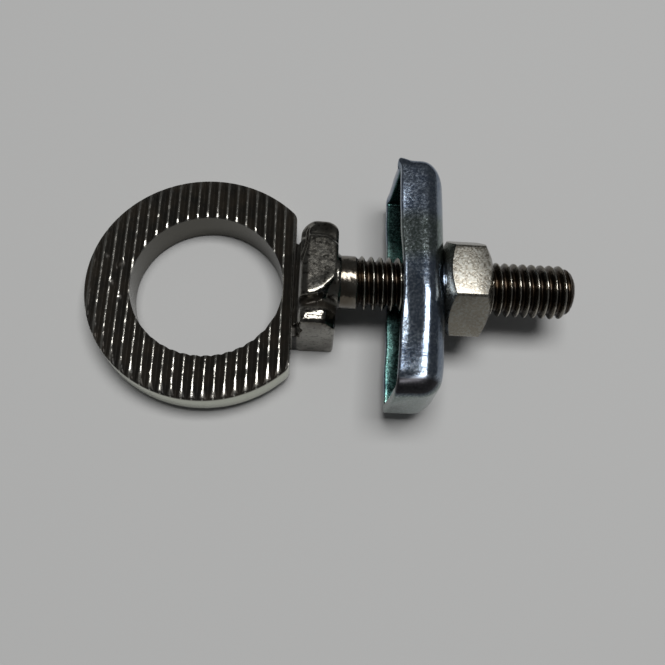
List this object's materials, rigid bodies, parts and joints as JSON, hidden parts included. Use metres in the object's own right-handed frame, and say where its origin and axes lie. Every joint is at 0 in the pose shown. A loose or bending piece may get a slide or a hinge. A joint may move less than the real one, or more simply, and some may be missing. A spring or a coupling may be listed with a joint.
{
  "type": "motorcycle chain adjuster",
  "caption": "Eye bolt with a serrated D-shaped axle ring, a guide lug and a threaded stud, drawn through a pressed end cap by a hexagon nut to tension a chain.",
  "frame": {"origin": "centre of the axle bore in the plane of the ring's underside", "axes": "+X along the stud towards its free end, +Z along the axle bore out of the serrated face, +Y across the stud"},
  "size_m": [0.0545, 0.0274, 0.012],
  "materials": {
    "bright_forged_steel": "dark bright-plated forging",
    "zinc_plated_sheet": "bluish mottled zinc plating",
    "nickel_plated_steel": "satin nickel plating"
  },
  "bodies": {
    "eye_bolt": {"eye_bolt": "bright_forged_steel"},
    "end_cap": {"end_cap": "zinc_plated_sheet"},
    "hex_nut": {"hex_nut": "nickel_plated_steel"}
  },
  "joints": [
    {"name": "cap_slide", "type": "slide", "parent": "eye_bolt", "child": "end_cap", "axis": [1, 0, 0], "range_m": [-0.0058, 0.009]},
    {"name": "nut_turn", "type": "hinge", "parent": "end_cap", "child": "hex_nut", "pos_m": [0.02625, 0, 0.00683], "axis": [1, 0, 0], "range_deg": [-2089, 3241]}
  ],
  "couplings": [
    {"joint": "nut_turn", "follows": "cap_slide", "rad_per_m": 6283.2}
  ]
}
